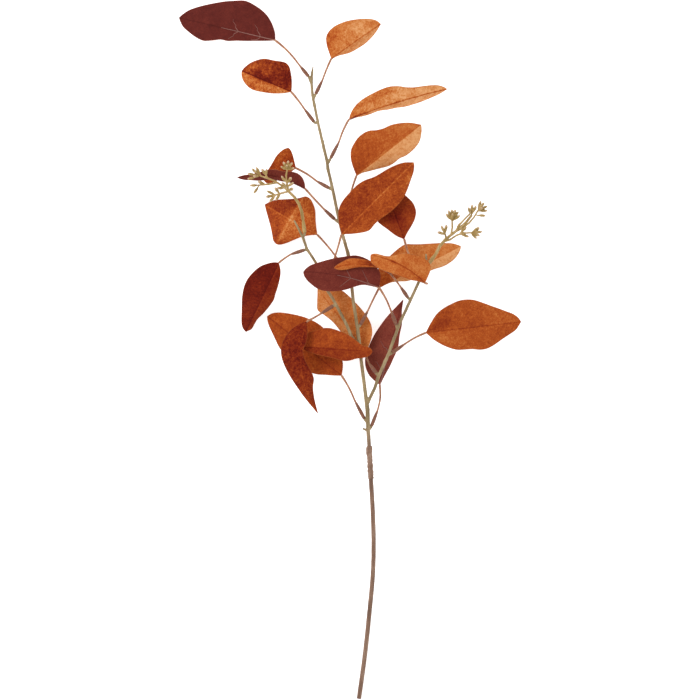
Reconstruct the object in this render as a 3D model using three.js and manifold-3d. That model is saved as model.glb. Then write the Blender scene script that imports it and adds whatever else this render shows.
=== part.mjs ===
// Spray of autumn eucalyptus made of cloth leaves on a moulded stem, lying on a table. Millimetres, +Z up.
// +Y runs along the stem from the cut end to the top, +X is to the right, and the table is z = 0.
import * as THREE from "three";
import { mergeVertices } from "three/addons/utils/BufferGeometryUtils.js";
import Module from "manifold-3d";

const wasm = await Module();
wasm.setup();

// ----------------------------------------------------------------------------------------------------
// Driving dimensions

const GAP = 0.3; // between pieces that touch
const BLADE_THICKNESS = 0.8; // stiffened cloth at the midrib; it thins to a point at the edge
// Rows of a blade, from base 0 to tip 1
const BLADE_ROWS = [0.02, 0.07, 0.14, 0.22, 0.3, 0.38, 0.46, 0.54, 0.62, 0.7, 0.78, 0.86, 0.93, 0.98];
const NARROWEST_HALF = 0.6; // of a blade, from midrib to edge
const RIB_ROWS = 8; // rows of the blade that the moulded rib runs under
const RIB_RADIUS = 0.75;
const PETIOLE_RADIUS = 0.8;
const STALK_STEP = 12; // between the rings of a stalk
const FOLDED_STALK_STEP = 4; // of one that folds back under its leaf
const SOCKET_RADIUS = 2.0;
const SOCKET_BORE_RADIUS = 1.4;
const SOCKET_BORE_DEPTH = 5;
const PEG_RADIUS = 1.0; // inside the socket
const PEG_SHOULDER_RADIUS = 1.5; // between the stem and the socket
const PEG_INSIDE = 4.4; // how far a peg reaches into its socket
const BUD_LENGTH = 8;
const BUD_RADIUS = 1.5;
const SPRAY_STALK_RADIUS = 1.4;
const TWIG_RADIUS = 0.85;
const STEM_SIDES = 10;
const TUBE_SIDES = 6;
const BUD_SIDES = 5;

const COLOURS = {
  orange: 0xb5561e,
  lightOrange: 0xd98b4a,
  rust: 0x7e2a12,
  burgundy: 0x732c24,
  petiole: 0xb0684e,
  stem: 0xa39268,
  lowerStem: 0x9c7a64,
  binding: 0xb39a76,
  buds: 0xa09048,
};

// Centre lines of the stems: x, y, z, radius
const LOWER_STEM = [
  [9.6, -374.4, 2.24, 2.35],
  [16.2, -325.7, 4.4, 2.35],
  [21.2, -277.8, 7.6, 2.35],
  [24.6, -240, 10.8, 2.35],
  [25.4, -209.2, 13.6, 2.35],
  [24.9, -182.8, 16, 2.35],
  [23.9, -161.3, 18.2, 2.3],
  [22.4, -137, 21, 2.3],
  [21.8, -121, 22.7, 2.2],
];
const MAIN_STEM = [
  [21.7, -120.7, 22.8, 2.0],
  [20.9, -107.5, 24.1, 2.1],
  [19.4, -84.9, 26.5, 2.2],
  [18.8, -63.4, 29, 2.4],
  [16.2, -43.6, 31, 1.95],
  [12, -10.8, 34.2, 1.85],
  [8.4, 21.5, 37, 1.8],
  [3.4, 53.8, 39.2, 1.75],
  [0.2, 86, 41, 1.75],
  [-2.2, 104.3, 41.8, 1.75],
  [-6.4, 118.3, 42.3, 1.75],
  [-12.7, 144, 43, 1.7],
  [-18.2, 170.9, 43.2, 1.65],
  [-23.6, 194.6, 43, 1.6],
  [-24.7, 203.2, 43, 1.65],
  [-33.4, 239.7, 42.3, 1.5],
  [-40.1, 273, 41.4, 1.4],
  [-41.3, 288.1, 41.2, 1.35],
  [-40.6, 297, 41.2, 1.2],
  [-39.4, 304, 41.4, 0.5],
];
const LEFT_BRANCH = [
  [4.6, 11.4, 36.2, 1.7],
  [1.6, 15, 36.8, 1.75],
  [-3.4, 27.4, 38, 1.6],
  [-10.9, 41.4, 39.6, 1.6],
  [-17.5, 53.8, 41, 1.6],
  [-23.2, 62.8, 42, 1.65],
  [-36.9, 94.6, 45.6, 1.5],
  [-46.2, 108.9, 47.6, 1.5],
  [-50.3, 121, 49, 1.5],
  [-55.1, 130.4, 50, 1.15],
  [-59.6, 139, 50.6, 0.9],
];
const RIGHT_BRANCH = [
  [21.9, -49.6, 31.4, 1.8],
  [26.4, -40.5, 32.8, 1.8],
  [30.9, -26.9, 35, 1.7],
  [41.4, -3.2, 38.8, 1.65],
  [50, 20.4, 42.4, 1.6],
  [53.8, 30.6, 43.8, 1.6],
  [64.3, 53.2, 46.8, 1.55],
  [72.6, 71.3, 49, 1.55],
  [81.4, 88.6, 51, 1.5],
  [81.6, 96, 51.6, 1.15],
  [81.2, 103.2, 52, 0.9],
];

// The leaves, numbered from the top of the spray down.
// base, tip: the two ends of the midrib
// left, right: outline of each half, seen from above and looking from base to tip:
//   how far along the straight line between the two (0 to 1), and how far out of it
// bow: sideways curve of the midrib, to the left. arch: upward curve of the midrib.
// edges: how far the left and right edges stand above the midrib
// stalk: the petiole's route, from the stem's centre line through the socket's mouth and end to the blade
// A point of a stalk may leave out its z, which then runs evenly between its neighbours.
// turned: the leaf shows its underside, so its rib lies above the cloth
// ribAside: how far the rib lies to the left of the fold, on a leaf whose right half hangs steeply
const LEAVES = {
  leaf_01: {
    base: [-80, 332, 37], tip: [-184, 358, -1], bow: 0, arch: 3,
    left: [[0.08, 2.5], [0.25, 7], [0.4, 10.5], [0.5, 13.3], [0.57, 12.6], [0.64, 17], [0.72, 18.4],
      [0.86, 13], [0.95, 7.5]],
    right: [[0.02, 7.5], [0.09, 19], [0.18, 27], [0.32, 32.5], [0.41, 33.7], [0.53, 30.6], [0.82, 17.3],
      [0.95, 7.5]],
    edges: [3, -9],
    stem: "main", stalk: [[-41, 286], [-44.6, 293.6], [-53, 304], [-66, 320]],
    colour: "burgundy", turned: true,
  },
  leaf_02: {
    base: [-20, 312, 46], tip: [33, 349, 50], bow: 0, arch: 4,
    left: [[0.07, 15], [0.16, 23.5], [0.31, 26.5], [0.52, 24.3], [0.76, 17.5], [0.9, 11.3], [0.97, 6.5]],
    right: [[0.12, 1.5], [0.34, 6], [0.65, 6.4], [0.93, 2]],
    edges: [-3, -15],
    stem: "main", stalk: [[-39.8, 268], [-36.6, 274.6], [-29.8, 288.6], [-25, 301]],
    colour: "orange", ribAside: 0.8,
  },
  leaf_03: {
    base: [-63, 277, 36], tip: [-116, 300, 22], bow: 0, arch: 4,
    left: [[0.1, 4], [0.24, 7.7], [0.41, 11], [0.69, 14], [0.84, 11.5], [0.96, 5.7]],
    right: [[0.04, 7.5], [0.15, 19], [0.25, 25.5], [0.33, 26.3], [0.51, 23.8], [0.7, 21.3],
      [0.84, 15.4], [0.96, 7]],
    edges: [-3, 2],
    stem: "main", stalk: [[-34.6, 244], [-38.6, 244.8], [-48.4, 258], [-54, 266]],
    colour: "orange",
  },
  leaf_04: {
    base: [-1, 247, 50], tip: [104, 280, 34], bow: 2, arch: 8,
    left: [[0.04, 6.8], [0.16, 15.5], [0.28, 18.8], [0.39, 20.5], [0.5, 20.2], [0.6, 15.5],
      [0.68, 12.6], [0.91, 7.5], [0.97, 4]],
    right: [[0.1, 0.4], [0.3, 1], [0.54, 3.6], [0.8, 4], [0.93, 2]],
    edges: [-3, -14],
    stem: "main", stalk: [[-24.5, 199], [-20.6, 206], [-12.3, 222], [-7, 236]],
    colour: "lightOrange", ribAside: 0.9,
  },
  leaf_05: {
    base: [7, 187, 44], tip: [76, 242, 34], bow: 0, arch: 5,
    left: [[0.05, 14], [0.13, 24.3], [0.27, 30], [0.36, 31], [0.45, 29.5], [0.53, 25], [0.6, 22],
      [0.73, 18.8], [0.9, 9.6]],
    right: [[0.05, 0.8], [0.16, 4.9], [0.4, 13.5], [0.55, 13.8], [0.64, 15.9], [0.84, 14.1], [0.97, 4.6]],
    edges: [3, -5],
    stem: "main", stalk: [[-11.2, 138], [-7.6, 141.6], [-2, 155], [1.5, 171]],
    colour: "orange",
  },
  leaf_06: {
    base: [-58, 195.5, 32], tip: [-94.5, 187, 24], bow: 0, arch: 2,
    left: [[0.1, 2], [0.4, 6], [0.7, 9], [0.9, 8.5], [0.97, 5]],
    right: [[0.01, 15], [0.03, 20], [0.08, 22.7], [0.24, 22.2], [0.45, 17.9], [0.61, 11.7], [0.81, 4.4]],
    edges: [-4, 6],
    stem: "main", stalk: [[-18.6, 172], [-22.6, 174], [-35, 181, 38], [-46, 189]],
    colour: "orange",
  },
  leaf_07: {
    base: [-48, 173, 43], tip: [-121, 185, 38], bow: -8, arch: 3,
    left: [[0.09, -1.7], [0.21, -3.9], [0.37, -3.7], [0.6, -2.2], [0.78, -0.4], [0.89, 1]],
    right: [[0.01, 4], [0.05, 9.7], [0.11, 14.3], [0.21, 15.8], [0.36, 14.2], [0.47, 14.6],
      [0.59, 12.2], [0.84, 5.5], [0.95, 2.5]],
    edges: [-8, 6],
    stem: "main", stalk: [[-10.6, 136], [-16.4, 140.6], [-27.6, 151], [-38, 162]],
    colour: "burgundy",
  },
  leaf_08: {
    base: [-9, 124, 57], tip: [68, 201, 57], bow: 0, arch: 6,
    left: [[0.07, 12], [0.14, 20], [0.22, 24], [0.36, 25.4], [0.51, 24.6], [0.58, 20.5], [0.66, 17.6],
      [0.82, 13], [0.93, 7.2]],
    right: [[0.09, 8.7], [0.17, 15], [0.26, 18.8], [0.33, 16.3], [0.4, 18.5], [0.59, 20.4],
      [0.72, 18.1], [0.84, 12], [0.96, 5.2]],
    edges: [2, -3],
    stem: "left", stalk: [[-28, 73], [-24.6, 76.6], [-19.8, 89], [-13.6, 108]],
    colour: "rust",
  },
  leaf_09: {
    base: [58, 119, 44], tip: [32, 189, 46], bow: 0, arch: 3,
    left: [[0.08, 6.4], [0.23, 13.8], [0.37, 20.2], [0.5, 21], [0.7, 14], [0.9, 5]],
    right: [[0.06, 4.4], [0.18, 15.2], [0.28, 21.3], [0.43, 22.6], [0.6, 17], [0.75, 11], [0.9, 4]],
    edges: [2, -2],
    stem: "right", stalk: [[77, 80], [73.6, 83], [66, 96, 48], [61, 108]],
    colour: "rust",
  },
  leaf_10: {
    base: [-35, 124, 27], tip: [-92, 157, -1], bow: 0, arch: 3,
    left: [[0.1, 4], [0.23, 11.2], [0.39, 24.4], [0.5, 29], [0.56, 26.5], [0.68, 18], [0.82, 10],
      [0.95, 3]],
    right: [[0.12, 11.4], [0.21, 21.2], [0.3, 27.1], [0.4, 30.5], [0.48, 29.5], [0.55, 24.5],
      [0.72, 17], [0.9, 9]],
    edges: [-12, 5],
    stem: "main", stalk: [[0.2, 84], [-3.4, 87], [-14, 99, 35], [-24, 112]],
    colour: "orange",
  },
  leaf_11: {
    base: [31, 67, 57], tip: [-50, 84, 56], bow: -4, arch: 4,
    left: [[0.11, 0], [0.2, 0.3], [0.28, 3], [0.41, 9], [0.55, 13.4], [0.68, 15.2], [0.78, 14.4],
      [0.9, 9.5], [0.97, 5]],
    right: [[0.01, 13], [0.06, 19], [0.14, 24.5], [0.23, 27.5], [0.37, 28.8], [0.5, 25.6], [0.65, 20.8],
      [0.87, 11.5], [0.96, 6]],
    edges: [1, -2],
    stem: "right", stalk: [[50.6, 21], [49.4, 27.6, 45.4], [44, 42, 50], [37, 58]],
    colour: "burgundy", turned: true,
  },
  leaf_12: {
    base: [43, 82, 66], tip: [-17, 88, 67], bow: -7, arch: 1,
    left: [[0.1, -2.2], [0.26, -4.9], [0.45, -4.2], [0.58, -3], [0.81, 0.8], [0.93, 1.2]],
    right: [[0.05, 5], [0.15, 8.5], [0.3, 10.8], [0.45, 12], [0.6, 12.6], [0.76, 11.5], [0.9, 6],
      [0.97, 3]],
    edges: [-3, 0],
    stem: "right", stalk: [[64.6, 54], [61.4, 57.4, 48.4], [54, 68, 55.4], [48, 76]],
    colour: "orange",
  },
  leaf_13: {
    base: [80, 72, 64], tip: [22, 102, 76], bow: -5, arch: 4,
    left: [[0.1, 1.5], [0.23, 4.4], [0.53, 7.4], [0.75, 9.2], [0.84, 8.8], [0.95, 6.5]],
    right: [[0.01, 10], [0.04, 18.5], [0.14, 22.5], [0.26, 23], [0.45, 20.2], [0.56, 17], [0.65, 11.5],
      [0.74, 7], [0.96, 3]],
    edges: [2, 1],
    stem: "right",
    stalk: [[76.5, 79], [72.6, 80.6, 51.4], [61.6, 85.4, 54], [60.4, 80, 55.6], [66, 76.6, 56.4],
      [73, 74.8, 57], [79.5, 72.6, 57.8], [82.4, 71.4, 60.2]],
    colour: "lightOrange",
  },
  leaf_14: {
    base: [32, 68, 33], tip: [119, 112, 16], bow: 0, arch: 5,
    left: [[0.01, 8], [0.045, 16], [0.14, 21], [0.26, 25], [0.38, 28.1], [0.47, 28.4], [0.54, 24.8],
      [0.62, 21], [0.8, 13.4], [0.95, 5.5]],
    right: [[0.16, 1.8], [0.33, 8.6], [0.46, 8.3], [0.59, 8.8], [0.73, 11.1], [0.85, 10], [0.97, 3.8]],
    edges: [1, -4],
    stem: "main", stalk: [[7.8, 24], [11, 27.6], [18.8, 42], [26, 57]],
    colour: "orange",
  },
  leaf_15: {
    base: [81, 19, 34], tip: [184, 31, -1], bow: 0, arch: 4,
    left: [[0.07, 10.5], [0.16, 20.6], [0.28, 27], [0.4, 30.5], [0.53, 29.3], [0.68, 22.1], [0.82, 15],
      [0.96, 6.8]],
    right: [[0.09, 9.8], [0.2, 17.5], [0.31, 22.2], [0.37, 22.9], [0.42, 21.9], [0.5, 24.4],
      [0.63, 23.9], [0.78, 16], [0.94, 7.6]],
    edges: [4, -4],
    stem: "right", stalk: [[40.6, -5], [45.2, -2.4], [58, 6.5], [70, 14]],
    colour: "orange",
  },
  leaf_16: {
    base: [-76, 94, 43], tip: [-112, 20, -1], bow: 0, arch: 6,
    left: [[0.09, 5.6], [0.21, 8.9], [0.39, 11.2], [0.48, 12.2], [0.57, 10.5], [0.66, 9], [0.8, 5.1],
      [0.93, 4.2]],
    right: [[0.02, 4.5], [0.13, 15.2], [0.26, 20.6], [0.42, 23], [0.58, 20.6], [0.7, 16.6], [0.89, 9.5],
      [0.97, 5]],
    edges: [-4, 1],
    stem: "left", stalk: [[-45.4, 107.6], [-49, 107.4], [-63, 103, 46], [-70, 98.6]],
    colour: "rust",
  },
  leaf_17: {
    base: [17, -2, 26], tip: [-35, 67, 24], bow: 0, arch: 2,
    left: [[0.15, 6], [0.35, 8], [0.54, 8.6], [0.68, 11.5], [0.78, 14], [0.9, 6.5], [0.97, 1.9]],
    right: [[0.03, 5], [0.13, 16.9], [0.25, 22.9], [0.41, 24.4], [0.65, 22.3], [0.8, 19.2], [0.92, 12],
      [0.98, 5]],
    edges: [0, 2],
    stem: "right", stalk: [[31.4, -26, 35], [28, -24, 33.4], [20.6, -14, 29.4], [18, -8]],
    colour: "orange",
  },
  leaf_18: {
    base: [-9, -27, 23], tip: [-89, 37, 8], bow: 0, arch: 4,
    left: [[0.05, 4], [0.13, 9.6], [0.24, 17], [0.45, 20.5], [0.66, 19.2], [0.76, 15.1], [0.86, 10.2],
      [0.96, 4.5]],
    right: [[0.02, 4], [0.05, 8.5], [0.09, 13.3], [0.25, 22], [0.47, 27.9], [0.63, 26], [0.77, 20.5],
      [0.91, 12.2], [0.97, 7]],
    edges: [-2, 1],
    stem: "main", stalk: [[19.2, -78], [15.4, -73], [5.6, -54.6], [-1, -40]],
    colour: "orange",
  },
  leaf_19: {
    base: [-46, 31, 50], tip: [-34, -68, 44], bow: -12, arch: 6,
    left: [[0.13, -0.7], [0.2, -2.2], [0.28, -7.2], [0.36, -7.6], [0.43, -6], [0.52, -2.6], [0.6, 0],
      [0.68, -1.6], [0.81, -2.2]],
    right: [[0.01, 6.8], [0.07, 18.5], [0.16, 27.1], [0.26, 31.2], [0.39, 30.8], [0.53, 26.4],
      [0.65, 20.8], [0.8, 12.8], [0.91, 5.9]],
    edges: [-4, -1],
    stem: "left", stalk: [[-14.6, 48.4], [-18.4, 47.6], [-31, 39.6], [-39, 34.8]],
    colour: "rust",
  },
  leaf_20: {
    base: [-51, 4, 41], tip: [24, -1, 42], bow: 0, arch: 3,
    left: [[0.01, 5], [0.06, 14.3], [0.17, 18.6], [0.33, 22], [0.42, 21.3], [0.64, 16], [0.78, 9.5],
      [0.87, 5.2], [0.96, 4]],
    right: [[0.03, 3.2], [0.17, 6.7], [0.41, 9.4], [0.58, 12], [0.66, 11.9], [0.79, 8.5], [0.9, 7],
      [0.97, 4]],
    edges: [-1, -2],
    stem: "main",
    stalk: [[10.8, -2], [7, -1.4, 33.6], [-6, 1.6, 33], [-36, 4.6, 34], [-52, 5.2, 35.6], [-55, 4.8, 38.4]],
    colour: "rust",
  },
  leaf_21: {
    base: [32, -37, 19], tip: [57, 55, 14], bow: 0, arch: 3,
    left: [[0.03, 6.4], [0.09, 15.8], [0.19, 21.3], [0.26, 22.9], [0.36, 22.5], [0.47, 21],
      [0.62, 17.4], [0.78, 11.1], [0.9, 5]],
    right: [[0.1, 1.9], [0.25, 5.5], [0.41, 8], [0.55, 6.7], [0.74, 5.5], [0.85, 2.5]],
    edges: [-3, -5],
    stem: "main", stalk: [[19.5, -86], [23, -81], [29.4, -64.6], [32.4, -51]],
    colour: "burgundy", turned: true,
  },
};

// The seed sprays. Each twig is a route; each bud is the point it grows from and its tip.
const LEFT_SPRAY = {
  sleeve: [[-50.3, 121, 49], [-48.6, 126.4, 51.6], [-50.2, 139.8, 53.4]],
  twigs: [
    [[-50.2, 139.8, 53.4], [-52.7, 152.7, 54.6], [-56.4, 159.6, 55], [-61.6, 166.6, 55.4],
      [-65.6, 170, 55.6]],
    [[-65.6, 170, 55.6], [-68.3, 184.9, 57], [-66.7, 194.6, 57.6]],
    [[-65.6, 170, 55.6], [-77.4, 179.5, 56.4], [-84.9, 182.8, 56.6], [-97, 187, 57]],
    [[-77.4, 179.5, 56.4], [-88, 177.5, 55.8], [-98, 176.6, 55.4]],
    [[-65.6, 170, 55.6], [-72, 168.4, 55.2], [-79.6, 166.1, 54.8]],
  ],
  buds: [
    [[-66.9, 193, 57.5], [-74, 196.6, 56.6]],
    [[-66.8, 194, 57.6], [-71.4, 201.4, 59.4]],
    [[-66.7, 194.4, 57.6], [-66, 203, 57.4]],
    [[-66.8, 194, 57.6], [-61.4, 200.6, 59.6]],
    [[-66.9, 193, 57.5], [-59.4, 195, 56.4]],
    [[-66.8, 193.6, 57.6], [-67.6, 198, 63]],
    [[-87, 183.6, 56.7], [-94.4, 194, 58.6]],
    [[-90, 184.6, 56.8], [-89, 194.4, 57.6]],
    [[-94.4, 186, 57], [-100.4, 196, 56.6]],
    [[-96, 186.6, 57], [-105, 194.4, 58.6]],
    [[-96.6, 186.8, 57], [-109.4, 189, 56.6]],
    [[-96, 186.6, 57], [-109.6, 183, 58.4]],
    [[-96, 186.6, 57], [-103.4, 186, 62.4]],
    [[-97, 176.8, 55.5], [-107, 176.2, 56.4]],
    [[-96.6, 176.8, 55.5], [-103, 167.6, 55]],
    [[-90, 177.4, 55.7], [-98.4, 180.6, 59.4]],
    [[-79, 166.3, 54.8], [-89.2, 170.6, 56]],
    [[-79.4, 166.2, 54.8], [-90, 164, 54.4]],
    [[-79, 166.3, 54.8], [-86, 158.8, 55.8]],
    [[-75, 167.5, 55], [-80.4, 174, 57.6]],
    [[-74.4, 167.7, 55], [-79.4, 160.4, 56.6]],
    [[-70, 173.6, 55.9], [-78, 173.4, 58.6]],
    [[-67.4, 178, 56.4], [-62.6, 185, 58.6]],
    [[-67.6, 179, 56.5], [-73.4, 186.4, 58.6]],
    [[-66.8, 175, 56.1], [-60, 179.4, 59.4]],
    [[-66.4, 173.4, 55.9], [-73, 179.4, 60.4]],
    [[-66, 171, 55.7], [-60.6, 173, 58.6]],
  ],
};
const RIGHT_SPRAY = {
  sleeve: [[81.4, 88.6, 51], [85, 93.8, 52.4], [92, 103.6, 53.6]],
  twigs: [
    [[92, 103.6, 53.6], [97.7, 114.4, 54.4], [102.7, 119.3, 55], [112.6, 127.1, 56], [121.9, 134.7, 57],
      [130.1, 144.6, 58]],
    [[102.7, 119.3, 55], [101.6, 124.4, 56.4]],
    [[108, 123.6, 55.6], [109.2, 130, 56.6], [109, 139.1, 57.6]],
    [[99.4, 116.2, 54.6], [103.9, 116.8, 54.8], [110.7, 121, 54.8], [117, 124.7, 55], [129.5, 125.8, 55.6]],
    [[112.6, 127.1, 56], [117, 134.4, 58.4], [124, 142, 59.6], [129, 147, 59.4]],
    [[112.6, 127.1, 56], [123, 132.6, 55.8], [131, 140.4, 56.6], [136.6, 149.4, 58.4]],
  ],
  buds: [
    [[101.8, 124, 56.3], [93.4, 126.6, 57]],
    [[101.7, 124.2, 56.4], [97.4, 133.6, 58]],
    [[101.7, 124.2, 56.4], [103, 134.4, 56.8]],
    [[109, 138.4, 57.5], [102.4, 146.2, 57]],
    [[109, 139, 57.6], [105, 149.8, 58.8]],
    [[109, 139, 57.6], [108.8, 151, 57]],
    [[109, 139, 57.6], [112.6, 150.4, 59]],
    [[109, 138.6, 57.5], [116, 148.6, 57]],
    [[109, 138, 57.5], [117.6, 144.4, 58.4]],
    [[109, 138.6, 57.6], [109.4, 146.4, 62.4]],
    [[113.4, 127.8, 56.1], [117.8, 136.4, 55.4]],
    [[129.8, 144.2, 58], [130.4, 156, 58.6]],
    [[128.6, 146, 59.4], [126.4, 153, 60.6]],
    [[129.4, 143.6, 57.9], [134.6, 154.4, 60]],
    [[136, 149, 58.4], [139.8, 160, 58.4]],
    [[136.4, 149.3, 58.4], [143.4, 158, 60.4]],
    [[136, 149, 58.4], [147, 154.4, 57.6]],
    [[135.6, 148.7, 58.3], [147, 149.4, 59]],
    [[133.6, 144.6, 57.4], [145, 143.8, 58]],
    [[136, 149, 58.4], [141.4, 152.4, 62.6]],
    [[116.4, 124.4, 55], [124.4, 132, 57]],
    [[117, 124.6, 55], [127, 121.4, 54.2]],
    [[117, 124.7, 55], [125, 125.4, 59]],
    [[129, 125.8, 55.6], [138.4, 131.4, 57]],
    [[129.4, 125.8, 55.6], [141.4, 127, 56]],
    [[129, 125.8, 55.6], [135.4, 119.4, 55.2]],
    [[129, 125.8, 55.6], [138.6, 122.6, 58]],
  ],
};

// Small stub that a leaf was never fitted to, on the main stem: centre line, outer end
const SPARE_STUB = [[19.4, -86, 26.4], [13.6, -83.6, 26.8]];

// Binding where the upper stem is spliced to the lower one: how far along, radius
const BINDING_OUTLINE = [
  [0, 2.95],
  [2, 3.15],
  [6, 3.0],
  [14, 2.95],
  [24, 3.0],
  [29, 3.35],
  [32.5, 3.25],
  [36, 2.7],
];
const BINDING_START = [22.4, -138, 20.9];
const BINDING_END = [20.6, -102.4, 24.6];

// ----------------------------------------------------------------------------------------------------
// Lofts

const UP = new THREE.Vector3(0, 0, 1);

function vec(p) {
  return new THREE.Vector3(p[0], p[1], p[2]);
}

// A closed solid through rings of equal length. It ends in a point at each end, or runs round in a loop.
function loft(rings, first, last) {
  const sides = rings[0].length;
  const points = rings.flat();
  const index = [];
  const quads = first ? rings.length - 1 : rings.length;
  for (let r = 0; r < quads; r++) {
    const a = r * sides;
    const b = ((r + 1) % rings.length) * sides;
    for (let i = 0; i < sides; i++) {
      const j = (i + 1) % sides;
      index.push(a + i, a + j, b + i, a + j, b + j, b + i);
    }
  }
  if (first) {
    const start = points.push(first) - 1;
    const end = points.push(last) - 1;
    const a = (rings.length - 1) * sides;
    for (let i = 0; i < sides; i++) {
      const j = (i + 1) % sides;
      index.push(start, j, i);
      index.push(end, a + i, a + j);
    }
  }
  const geometry = new THREE.BufferGeometry().setFromPoints(points);
  geometry.setIndex(facingOut(points, index));
  return geometry;
}

function facingOut(points, index) {
  let volume = 0;
  const cross = new THREE.Vector3();
  for (let i = 0; i < index.length; i += 3) {
    cross.crossVectors(points[index[i + 1]], points[index[i + 2]]);
    volume += points[index[i]].dot(cross);
  }
  return volume < 0 ? index.reverse() : index;
}

// A frame at each point of a route, turned as little as possible from one point to the next.
function frames(route) {
  const result = [];
  let side = null;
  route.forEach((point, i) => {
    const ahead = route[Math.min(i + 1, route.length - 1)];
    const behind = route[Math.max(i - 1, 0)];
    const along = ahead.clone().sub(behind).normalize();
    if (!side) {
      const helper = Math.abs(along.z) > 0.9 ? new THREE.Vector3(1, 0, 0) : UP;
      side = helper.clone().cross(along);
    }
    side = side.clone().addScaledVector(along, -side.dot(along)).normalize();
    result.push({ point, along, side, other: along.clone().cross(side) });
  });
  return result;
}

function circle(frame, centre, radius, sides) {
  const ring = [];
  for (let i = 0; i < sides; i++) {
    const angle = (2 * Math.PI * i) / sides;
    ring.push(
      centre
        .clone()
        .addScaledVector(frame.side, radius * Math.cos(angle))
        .addScaledVector(frame.other, radius * Math.sin(angle)),
    );
  }
  return ring;
}

// A solid tube with flat ends. With a bore, its start is hollow to that depth.
function tube(route, radii, sides, bore) {
  const along = frames(route);
  const rings = along.map((frame, i) => circle(frame, frame.point, radii[i], sides));
  let start = route[0].clone();
  if (bore) {
    const bottom = start.clone().addScaledVector(along[0].along, bore.depth);
    rings.unshift(circle(along[0], start, bore.radius, sides));
    rings.unshift(circle(along[0], bottom, bore.radius, sides));
    start = bottom;
  }
  return loft(rings, start, route[route.length - 1].clone());
}

// Points at even steps along a smooth curve through the given ones.
function smoothRoute(points, step) {
  const curve = new THREE.CatmullRomCurve3(points, false, "centripetal");
  const count = Math.max(2, Math.round(curve.getLength() / step));
  return curve.getSpacedPoints(count);
}

// ----------------------------------------------------------------------------------------------------
// Joining

function solid(geometry) {
  const bare = geometry.index ? geometry.toNonIndexed() : geometry.clone();
  bare.deleteAttribute("normal");
  bare.deleteAttribute("uv");
  const merged = mergeVertices(bare, 1e-4);
  return new wasm.Manifold(
    new wasm.Mesh({
      numProp: 3,
      vertProperties: merged.attributes.position.array,
      triVerts: new Uint32Array(merged.index.array),
    }),
  );
}

function joined(geometries) {
  let whole = solid(geometries[0]);
  geometries.slice(1).forEach((geometry) => {
    whole = whole.add(solid(geometry));
  });
  const mesh = whole.getMesh();
  const geometry = new THREE.BufferGeometry();
  geometry.setAttribute("position", new THREE.BufferAttribute(mesh.vertProperties, 3));
  geometry.setIndex(new THREE.BufferAttribute(mesh.triVerts, 1));
  return geometry;
}

// ----------------------------------------------------------------------------------------------------
// Leaves

// How far a half's edge stands out of the line from base to tip, on a smooth curve through its outline.
function edgeAt(u, outline, length) {
  const corners = [[0, 0], ...outline, [1, 0]].map(([along, out]) => vec([along * length, out, 0]));
  const curve = smoothRoute(corners, 0.5);
  const next = curve.findIndex((point) => point.x >= u * length);
  const before = curve[next - 1];
  const share = (u * length - before.x) / (curve[next].x - before.x);
  return before.y + share * (curve[next].y - before.y);
}

function bladeFrame(leaf) {
  const base = vec(leaf.base);
  const span = vec(leaf.tip).sub(base);
  const left = UP.clone().cross(span).normalize();
  return { base, span, left };
}

// Share of the midrib's bow and arch at this place.
function bend(u) {
  return 4 * u * (1 - u);
}

function midribPoint(leaf, u) {
  const { base, span, left } = bladeFrame(leaf);
  const point = base.addScaledVector(span, u);
  point.addScaledVector(left, leaf.bow * bend(u));
  point.addScaledVector(UP, leaf.arch * bend(u));
  return point;
}

// From midrib to edge, on the left (sign 1) or the right (sign -1).
function halfWidth(leaf, sign, u) {
  const { span } = bladeFrame(leaf);
  const out = edgeAt(u, sign > 0 ? leaf.left : leaf.right, Math.hypot(span.x, span.y));
  return Math.max(out - sign * leaf.bow * bend(u), NARROWEST_HALF);
}

// Cloth can't go below the table: what would hang lower lies flat on it.
function abovetable(point, height) {
  point.z = Math.max(point.z, height);
  return point;
}

// One row across a blade: left edge, half left, midrib, half right, right edge, and back underneath.
function bladeRow(leaf, u) {
  const { left } = bladeFrame(leaf);
  const middle = midribPoint(leaf, u);
  const halves = [1, -1].map((sign, i) => {
    const reach = halfWidth(leaf, sign, u);
    const widest = Math.max(...BLADE_ROWS.map((row) => halfWidth(leaf, sign, row)));
    return { sign, reach, rise: leaf.edges[i] * (reach / widest) };
  });
  const place = (half, share) => {
    const point = middle.clone().addScaledVector(left, half.sign * half.reach * share);
    point.z += half.rise * Math.pow(share, 1.4);
    return point;
  };
  const across = [place(halves[0], 0.52), middle, place(halves[1], 0.52)];
  const half = BLADE_THICKNESS / 2;
  const top = across.map((p) => abovetable(p.clone().addScaledVector(UP, half), BLADE_THICKNESS));
  const bottom = across.map((p) => abovetable(p.clone().addScaledVector(UP, -half), 0));
  const edgeLeft = abovetable(place(halves[0], 1), half);
  const edgeRight = abovetable(place(halves[1], 1), half);
  return [edgeLeft, ...top, edgeRight, ...bottom.reverse()];
}

function blade(leaf) {
  const rings = BLADE_ROWS.map((u) => bladeRow(leaf, u));
  const half = BLADE_THICKNESS / 2;
  return loft(rings, abovetable(vec(leaf.base), half), abovetable(vec(leaf.tip), half));
}

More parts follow.
